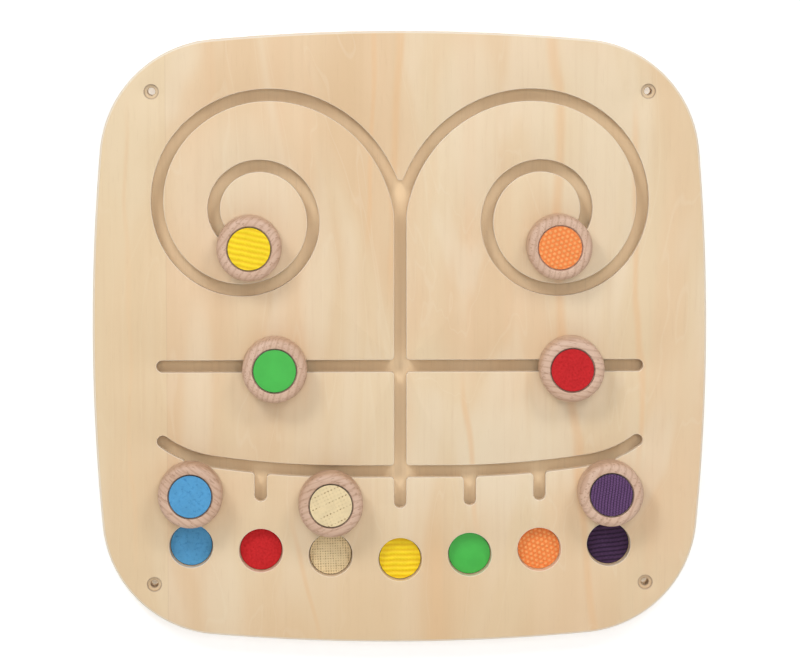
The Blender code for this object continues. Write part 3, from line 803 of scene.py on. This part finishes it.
# Colours in linear light, and the plywood's layers
PLY_LAYER = 0.0030
# Paler tint of the walls inside the board: painted light
PLY_WALL_PAINTED_LIGHT = (0.900, 0.770, 0.620)
PLY_LINE = (0.25, 0.14, 0.07)
# Pale tint of the roundings: a painted highlight
RIM_HIGHLIGHT_TINT = (0.930, 0.850, 0.730)
VENEER = {
    "deep": (0.715, 0.500, 0.290),
    "plain": (0.775, 0.565, 0.355),
    "yellow": (0.770, 0.610, 0.395),
    "tan": (0.755, 0.500, 0.285),
    "flame": (0.815, 0.680, 0.500),
    "ridge": (0.850, 0.735, 0.570),
    "patch": (0.815, 0.690, 0.500),
    "warm": (0.770, 0.480, 0.245),
    "foot": (0.715, 0.490, 0.270),
    "strip": (0.770, 0.600, 0.375),
    "seam": (0.560, 0.380, 0.220),
    "figure": (0.665, 0.460, 0.280),
    "pore": (0.520, 0.330, 0.180),
    "knot": (0.420, 0.250, 0.130),
    "bore_rim_shade": (0.300, 0.190, 0.110),
    "layer": (0.640, 0.440, 0.270),
}

# Place of the joint between the face's two sheets of veneer
JOINT_PLACE = -0.228

# Place, lean, half width, lowest and highest reach of the warm streaks
WARM_STREAKS = (
    (0.167, -0.065, 0.0075, -0.30, 0.30),
    (-0.011, 0.010, 0.0070, 0.07, 0.30),
    (-0.037, 0.020, 0.0035, 0.12, 0.30),
    (0.058, -0.110, 0.0045, -0.17, -0.06),
    (0.022, -0.040, 0.0150, -0.30, -0.21),
    (-0.150, -0.230, 0.0040, -0.28, -0.21),
    (0.232, -0.020, 0.0050, -0.10, 0.20),
    (-0.262, 0.000, 0.0035, -0.20, 0.20),
)

# Middle and half size across and up of the veneer's pale patches
PALE_PATCHES = (
    (-0.165, 0.135, 0.055, 0.080),
    (-0.207, -0.080, 0.016, 0.110),
    (-0.178, -0.255, 0.022, 0.070),
    (-0.085, 0.060, 0.018, 0.090),
    (0.115, -0.110, 0.050, 0.055),
    (0.070, 0.200, 0.030, 0.080),
)


def faces_out(tree):
    """How squarely the surface faces out of the wall or into it, from 0 to 1."""
    facing = tree.add("ShaderNodeSeparateXYZ", {0: tree.add("ShaderNodeNewGeometry").outputs["Normal"]})
    return tree.math("ABSOLUTE", facing.outputs[1])


def ply_bands(tree, place, colour, dark, pale=0.0):
    """Colour with plywood's layers on faces square to the board, fully on its outer edge only.

    The layers follow the sine of the depth. The outer edge is where the fourth root of x^4 + z^4 passes
    the face's widest slots. The walls inside it are paler, by the share given: painted light on them.
    """
    parts = tree.add("ShaderNodeSeparateXYZ", {0: place}).outputs
    layer = tree.math("SINE", tree.math("MULTIPLY", parts[1], 2 * math.pi / PLY_LAYER))
    band = tree.ramp(layer, -0.25, 0.25)
    line = tree.ramp(tree.math("ABSOLUTE", layer), 0.16, 0.02)
    side = tree.ramp(faces_out(tree), 0.35, 0.10)
    across, up = (tree.math("POWER", tree.math("ABSOLUTE", parts[k]), 4.0) for k in (0, 2))
    reach = tree.math("POWER", tree.math("ADD", across, up), 0.25)
    outer = tree.ramp(reach, 0.2925, 0.2965)
    inside = tree.math("MULTIPLY", side, tree.math("SUBTRACT", 1.0, outer))
    # Painted light: the walls inside the outer edge are drawn paler
    colour = tree.tint(colour, inside, pale, PLY_WALL_PAINTED_LIGHT)
    side = tree.math("MULTIPLY", side, tree.math("MAXIMUM", outer, 0.25))
    colour = tree.tint(colour, tree.math("MULTIPLY", band, side), 0.30, dark)
    return tree.tint(colour, tree.math("MULTIPLY", line, side), 0.22, PLY_LINE)


def painted_rim_highlight(tree, colour):
    """Colour made paler on the roundings between the flat face and the upright walls: a painted highlight.
    """
    flat = faces_out(tree)
    rim = tree.math("MULTIPLY", tree.ramp(flat, 0.985, 0.86), tree.ramp(flat, 0.03, 0.30))
    return tree.tint(colour, rim, 0.65, RIM_HIGHLIGHT_TINT)


def warm_streak(tree, across, up, at, lean, width, low, high):
    """Mask of one upright streak: within a width of the line x = at + lean z, faded past its two ends."""
    straightened = tree.math("SUBTRACT", across, tree.math("MULTIPLY", up, lean))
    mask = tree.ramp(tree.apart(straightened, at), width, width * 0.1)
    foot, head = tree.ramp(up, low - 0.05, low + 0.02), tree.ramp(up, high + 0.05, high - 0.02)
    return tree.math("MULTIPLY", mask, tree.math("MULTIPLY", foot, head))


def pale_patch(tree, across, up, x, z, half_width, half_height):
    """Mask of one soft pale patch: an ellipse about a point, full inside and gone at its rim."""
    sides = [
        tree.math("DIVIDE", tree.math("SUBTRACT", part, middle), half)
        for part, middle, half in ((across, x, half_width), (up, z, half_height))
    ]
    reach = tree.math("ADD", *(tree.math("MULTIPLY", side, side) for side in sides))
    return tree.ramp(reach, 1.60, 0.20)


def veneer_material():
    """Light veneer with upright grain: soft pale figure, warm streaks, a joint on the left, lacquer."""
    material, tree, shader, place = new_material("birch_veneer")
    tone, figure, pores = wood_fields(tree, place)
    parts = tree.add("ShaderNodeSeparateXYZ", {0: place}).outputs
    across, up = parts[0], parts[2]
    streak = tree.noise(tree.stretch(place, (1, 1, 0.07)), 24, 2, 0.5, 0.8)
    wander = tree.noise(tree.stretch(place, (1, 1, 0.5)), 9, 2, 0.5, 0.5)
    flame = tree.noise(tree.stretch(place, (1, 1, 0.26)), 8, 3, 0.45, 1.6)
    mottle = tree.noise(tree.stretch(place, (1, 1, 0.4)), 7, 2, 0.5, 0.6)
    colour = tree.mix(tree.ramp(tone, 0.3, 0.72), VENEER["deep"], VENEER["plain"])
    colour = tree.mix(tree.ramp(mottle, 0.40, 0.60, 0, 0.75), colour, VENEER["yellow"])
    colour = tree.mix(tree.ramp(streak, 0.56, 0.74, 0, 0.40), colour, VENEER["tan"])
    colour = tree.mix(tree.ramp(flame, 0.50, 0.62, 0, 0.42), colour, VENEER["flame"])
    colour = tree.mix(tree.ramp(tree.apart(flame, 0.5), 0.007, 0.001, 0, 0.14), colour, VENEER["ridge"])
    shifted = tree.swayed(across, wander, 0.035)
    ragged = tree.swayed(up, flame, 0.09)
    frayed = tree.swayed(shifted, mottle, 0.06)
    pale = 0.0
    for values in PALE_PATCHES:
        pale = tree.math("MAXIMUM", pale, pale_patch(tree, frayed, ragged, *values))
    colour = tree.tint(colour, pale, 0.42, VENEER["patch"])
    warm = 0.0
    for values in WARM_STREAKS:
        warm = tree.math("ADD", warm, warm_streak(tree, shifted, up, *values))
    colour = tree.tint(colour, warm, 0.50, VENEER["warm"])
    middle = tree.ramp(tree.math("ABSOLUTE", across), 0.2, 0.05)
    foot = tree.math("MULTIPLY", tree.ramp(up, -0.14, -0.27), middle)
    colour = tree.tint(colour, foot, 0.50, VENEER["foot"])
    strip = tree.ramp(across, JOINT_PLACE + 0.0005, JOINT_PLACE - 0.0005)
    colour = tree.tint(colour, strip, 0.55, VENEER["strip"])
    seam = tree.ramp(tree.apart(across, JOINT_PLACE), 0.0007, 0.0001)
    colour = tree.tint(colour, seam, 0.25, VENEER["seam"])
    colour = tree.mix(tree.ramp(figure, 0.50, 0.74, 0, 0.14), colour, VENEER["figure"])
    colour = tree.tint(colour, pores, 0.09, VENEER["pore"])
    knots = {"Vector": tree.stretch(place, (1, 0.2, 0.45)), "Scale": 9.0, "Randomness": 1.0}
    knot = tree.add("ShaderNodeTexVoronoi", knots).outputs["Distance"]
    colour = tree.mix(tree.ramp(knot, 0.030, 0.012, 0, 0.5), colour, VENEER["knot"])
    colour = ply_bands(tree, place, colour, VENEER["layer"], 0.5)
    # Painted highlight: the roundings are drawn paler
    colour = painted_rim_highlight(tree, colour)
    # Painted shade: dark rings at the rims of the counterbores and the bores
    off = [tree.math("SUBTRACT", tree.math("ABSOLUTE", part), BORE_PLACE) for part in (across, up)]
    off = tree.math("SQRT", tree.math("ADD", *(tree.math("MULTIPLY", part, part) for part in off)))
    for radius in (COUNTERBORE_RADIUS, BORE_RADIUS):
        ring = tree.ramp(tree.apart(off, radius), 0.0008, 0.0002, 0, 0.5)
        colour = tree.mix(ring, colour, VENEER["bore_rim_shade"])
    normal = tree.bump(tree.math("ADD", figure, pores), 0.00008, 0.5)
    wire(tree, shader, colour, tree.ramp(figure, 0.3, 0.7, 0.42, 0.55), normal)
    return material


def core_material(name, light, dark, turn):
    """Raw plywood inside and behind: plainer, a little rosier, with its grain lying across or upright."""
    material, tree, shader, place = new_material(name)
    lying = tree.add("ShaderNodeMapping", {"Vector": place, "Rotation": (0, turn, 0)}).outputs[0]
    tone, figure, pores = wood_fields(tree, lying)
    colour = tree.mix(tree.ramp(tone, 0.3, 0.7), dark, light)
    colour = tree.mix(tree.ramp(figure, 0.45, 0.72, 0, 0.14), colour, [c * 0.75 for c in dark])
    colour = tree.tint(colour, pores, 0.10, [c * 0.5 for c in dark])
    colour = ply_bands(tree, place, colour, [c * 0.8 for c in dark])
    wire(tree, shader, colour, tree.ramp(figure, 0.3, 0.7, 0.60, 0.72), tree.bump(figure, 0.00010, 0.5))
    return material


BEECH = {
    "deep": (0.585, 0.380, 0.262),
    "plain": (0.680, 0.468, 0.345),
    "ring": (0.450, 0.255, 0.160),
    "fleck": (0.360, 0.190, 0.115),
}


def beech_material(colour_name, number):
    """Steamed beech: growth rings as curved streaks, short dark flecks, satin lacquer.

    Each knob's number turns and shifts its grain.
    """
    material, tree, shader, place = new_material(f"steamed_beech_{colour_name}")
    turn = (0.3 * number, 0.9 + 0.5 * number, 0.2)
    shift = (0.37 * number, 0.11 * number, 0)
    mapping = {"Vector": place, "Rotation": turn, "Location": shift}
    lying = tree.add("ShaderNodeMapping", mapping).outputs[0]
    tone, figure, _ = wood_fields(tree, lying)
    waves = {"Vector": tree.stretch(lying, (1, 0.35, 0.06)), "Scale": 54.0}
    waves |= {"Distortion": 2.8, "Detail": 2.0, "Detail Scale": 1.2}
    rings = tree.add("ShaderNodeTexWave", waves, wave_type="BANDS", bands_direction="X").outputs["Fac"]
    fleck = tree.noise(tree.stretch(lying, (1, 1, 0.22)), 620, 1, 0.5)
    colour = tree.mix(tree.ramp(tone, 0.3, 0.7), BEECH["deep"], BEECH["plain"])
    colour = tree.mix(tree.ramp(rings, 0.62, 0.96, 0, 0.46), colour, BEECH["ring"])
    colour = tree.mix(tree.ramp(fleck, 0.58, 0.70, 0, 0.60), colour, BEECH["fleck"])
    wire(tree, shader, colour, tree.ramp(figure, 0.3, 0.7, 0.36, 0.48), tree.bump(fleck, 0.00005, 0.4))
    return material


# Name, light colour, dark colour painted in the deep places as shade, roughness, scale and height of the
# fine surface
TEXTURES = {
    "blue": ("crinkled_blue_leather", (0.092, 0.350, 0.635), (0.050, 0.240, 0.490), 0.62, 260, 0.00004),
    "red": ("pressed_red_felt", (0.625, 0.022, 0.026), (0.470, 0.012, 0.014), 0.95, 1500, 0.00025),
    "beige": ("open_beige_canvas", (0.860, 0.690, 0.415), (0.300, 0.190, 0.085), 0.90, 1300, 0.00015),
    "yellow": ("corrugated_yellow", (1.000, 0.735, 0.014), (0.850, 0.560, 0.008), 0.50, 1100, 0.00004),
    "green": ("smooth_green", (0.062, 0.500, 0.070), (0.060, 0.480, 0.066), 0.20, 40, 0),
    "orange": ("dotted_orange_rubber", (0.980, 0.400, 0.130), (0.860, 0.240, 0.055), 0.45, 800, 0.00002),
    "purple": ("purple_corduroy", (0.150, 0.070, 0.185), (0.012, 0.005, 0.016), 0.92, 1400, 0.00030),
}

# Share of its dark colour left on a plate's cut edge, which is darkened as painted shade in the gap round
# the plate, but for two
GAP_SHADE_SHARE = 0.12
GAP_SHADE_SHARES = {"orange": 0.85, "red": 0.35}

FIBROUS = ("red", "purple", "blue", "beige")


def texture_material(colour):
    """Material of a texture: colour darkened in the deep places as painted shade, with its own fine
    surface.
    """
    name, light, dark, rough, fine, depth = TEXTURES[colour]
    material, tree, shader, place = new_material(name)
    relief = tree.add("ShaderNodeAttribute", attribute_name="relief").outputs["Fac"]
    mottle = tree.noise(place, 70, 3, 0.6)
    grit = tree.noise(place, fine, 2, 0.6)
    tint = tree.mix(tree.ramp(mottle, 0.3, 0.7), [c * 0.90 for c in light], light)
    tint = tree.mix(tree.ramp(grit, 0.35, 0.70, 0, 0.14), tint, [min(1.0, c * 1.25) for c in light])
    # Painted shade: the relief mask darkens the deep places towards the dark colour
    tint = tree.mix(tree.ramp(relief, 0.12, 0.95, 0, 0.95), tint, dark)
    edge = tree.add("ShaderNodeAttribute", attribute_name="cut_edge").outputs["Fac"]
    # Painted shade: the plate's rim and side are darkened for the shade in the gap round it
    gap_shade = [0.02 + GAP_SHADE_SHARES.get(colour, GAP_SHADE_SHARE) * c for c in dark]
    tint = tree.mix(tree.ramp(edge, 0.0, 0.8, 0, 0.92), tint, gap_shade)
    normal = tree.bump(grit, depth, 0.8) if depth else None
    wire(tree, shader, tint, tree.ramp(grit, 0.3, 0.7, rough - 0.06, rough + 0.06), normal)
    shader.inputs["Specular IOR Level"].default_value = 0.25
    if colour in FIBROUS:
        shader.inputs["Sheen Weight"].default_value = 0.10
        shader.inputs["Sheen Roughness"].default_value = 0.5
    if colour == "green":
        shader.inputs["Coat Weight"].default_value = 0.25
        shader.inputs["Coat Roughness"].default_value = 0.08
    return material


def plain_material(name, colour, rough, metallic, fine, depth):
    """Moulded nylon or plated steel: a touch of mottling and fine marks."""
    material, tree, shader, place = new_material(name)
    marks = tree.noise(place, fine, 3, 0.6)
    tint = tree.mix(tree.ramp(marks, 0.3, 0.7), [c * 0.88 for c in colour], colour)
    roughness = tree.ramp(marks, 0.3, 0.7, rough - 0.07, rough + 0.07)
    wire(tree, shader, tint, roughness, tree.bump(marks, depth, 0.5))
    shader.inputs["Metallic"].default_value = metallic
    return material


def put(obj, material):
    """Give an object one material."""
    obj.data.materials.clear()
    obj.data.materials.append(material)


# Stage, and its lamps' names, places, sizes and powers
WALL_BEHIND = 0.003
WALL_TOP = 3.0
FLOOR_LEVEL = -0.9
STAGE_REACH = 4.0
WALL_GLOW = 0.36
# Glow behind the board at its bottom and top: painted shade seen through the bores
GLOW_BEHIND_BOARD = (0.05, 0.32)
WORLD_LIGHT = 0.37
LAMPS = (
    ("key_lamp_left", (-1.4, -2.5, 2.1), 1.0, 37),
    ("key_lamp_right", (1.3, -2.5, 2.1), 1.0, 23),
    ("fill_lamp", (0.1, -3.6, 0.7), 1.0, 22),
    ("back_lamp", (0.8, 2.8, 1.8), 1.5, 30),
)


def stage_plane(name, corners, material):
    """Flat sheet of the stage."""
    mesh = bpy.data.meshes.new(name)
    mesh.from_pydata(corners, [], [(0, 1, 2, 3)])
    obj = bpy.data.objects.new(name, mesh)
    bpy.context.scene.collection.objects.link(obj)
    put(obj, material)


def wall_material():
    """White wall for the camera in front of it; light and views from behind pass through.

    It glows a little, and less behind the board, where the lower glow, darker towards the bottom, is
    painted shade seen through the bores.
    """
    material = bpy.data.materials.new("white_wall")
    material.use_nodes = True
    tree = Tree(material.node_tree)
    material.node_tree.nodes.clear()
    rays = tree.add("ShaderNodeLightPath")
    seen = tree.math("MAXIMUM", rays.outputs["Is Camera Ray"], rays.outputs["Is Glossy Ray"])
    behind = tree.add("ShaderNodeNewGeometry").outputs["Backfacing"]
    shown = tree.math("MULTIPLY", seen, tree.math("SUBTRACT", 1.0, behind))
    paint = tree.add("ShaderNodeBsdfDiffuse", {"Color": (0.90, 0.90, 0.90, 1)}).outputs[0]
    parts = tree.add("ShaderNodeSeparateXYZ", {0: tree.add("ShaderNodeTexCoord").outputs["Object"]}).outputs
    far = tree.math("MAXIMUM", tree.math("ABSOLUTE", parts[0]), tree.math("ABSOLUTE", parts[2]))
    # Painted shade: the glow behind the board is low, and darker towards the bottom
    behind_board = tree.ramp(parts[2], -0.2, 0.2, *GLOW_BEHIND_BOARD)
    open_wall = tree.ramp(far, 0.2500, 0.2515, behind_board, WALL_GLOW)
    glow = tree.add("ShaderNodeEmission", {"Color": (1, 1, 1, 1), "Strength": open_wall}).outputs[0]
    lit = tree.add("ShaderNodeAddShader", {0: paint, 1: glow}).outputs[0]
    clear = tree.add("ShaderNodeBsdfTransparent").outputs[0]
    out = tree.add("ShaderNodeOutputMaterial")
    mixed = tree.add("ShaderNodeMixShader", {0: shown, 1: clear, 2: lit}).outputs[0]
    tree.tree.links.new(mixed, out.inputs["Surface"])
    return material


def make_stage():
    """Wall behind the board and a pale floor below it."""
    wall = wall_material()
    floor, tree, shader, place = new_material("pale_floor")
    tint = tree.mix(tree.noise(place, 3, 2, 0.5), (0.84, 0.84, 0.84), (0.88, 0.88, 0.88))
    wire(tree, shader, tint)
    shader.inputs["Roughness"].default_value = 0.8
    left, right, low, back = -STAGE_REACH, STAGE_REACH, FLOOR_LEVEL, WALL_BEHIND
    upright = [(left, back, low), (right, back, low), (right, back, WALL_TOP), (left, back, WALL_TOP)]
    level = [(left, left, low), (right, left, low), (right, right, low), (left, right, low)]
    stage_plane("wall", upright, wall)
    stage_plane("floor", level, floor)


def area_lamp(name, place, size, power):
    """Square soft lamp aimed at the middle of the board."""
    lamp = bpy.data.lights.new(name, "AREA")
    lamp.shape = "SQUARE"
    lamp.size = size
    lamp.energy = power
    obj = bpy.data.objects.new(name, lamp)
    obj.location = place
    obj.rotation_euler = (-Vector(place)).to_track_quat("-Z", "Y").to_euler()
    bpy.context.scene.collection.objects.link(obj)


def make_light():
    """Soft keys from the top left and right, a fill, a lamp for the back, and an even white world."""
    for lamp in LAMPS:
        area_lamp(*lamp)
    world = bpy.data.worlds.new("studio")
    bpy.context.scene.world = world
    world.use_nodes = True
    tree = Tree(world.node_tree)
    rays = tree.add("ShaderNodeLightPath")
    seen = tree.math("MAXIMUM", rays.outputs["Is Camera Ray"], rays.outputs["Is Glossy Ray"])
    seen = tree.math("MAXIMUM", seen, rays.outputs["Is Transmission Ray"])
    strength = tree.ramp(seen, 0, 1, WORLD_LIGHT, 1.0)
    background = world.node_tree.nodes["Background"]
    background.inputs["Color"].default_value = (1, 1, 1, 1)
    world.node_tree.links.new(strength, background.inputs["Strength"])


def make_camera():
    """Camera at the photograph's place."""
    data = bpy.data.cameras.new("photo_camera")
    data.lens = CAMERA_LENS
    camera = bpy.data.objects.new("photo_camera", data)
    camera.location = CAMERA_PLACE
    camera.rotation_euler = (math.pi / 2 - CAMERA_PITCH, 0, CAMERA_YAW)
    bpy.context.scene.collection.objects.link(camera)
    bpy.context.scene.camera = camera
    bpy.context.scene.view_settings.view_transform = "Standard"


# The hide's creases bend by noise_vector, which draws its offsets by the clock unless a seed is set
noise.seed_set(NOISE_SEED)
make_camera()
GRAIN = grain_group()
panel = make_face_panel()
put(panel, veneer_material())
for count, colour in enumerate(COLOURS):
    knob = make_knob(colour)
    put(knob, beech_material(colour, count))
    look = texture_material(colour)
    for plate in make_textures(colour):
        put(plate, look)
channel_ply = core_material("channel_ply", (0.86, 0.65, 0.43), (0.78, 0.57, 0.355), math.pi / 2)
# The back ply is painted paler, standing in for light on the deep slot floors
back_ply_painted_light = core_material("back_ply_painted_light", (0.955, 0.745, 0.485), (0.895, 0.675, 0.42), 0)
put(nodes["channel_panel"], channel_ply)
put(nodes["back_panel"], back_ply_painted_light)
nylon = plain_material("moulded_nylon", (0.80, 0.80, 0.77), 0.40, 0.0, 160, 0.00003)
steel = plain_material("plated_steel", (0.62, 0.62, 0.64), 0.34, 1.0, 500, 0.00002)
for name, node in nodes.items():
    if name.startswith("glide_"):
        put(node, nylon)
    if name.startswith(("back_screw_", "knob_screw_")):
        put(node, steel)
make_stage()
make_light()
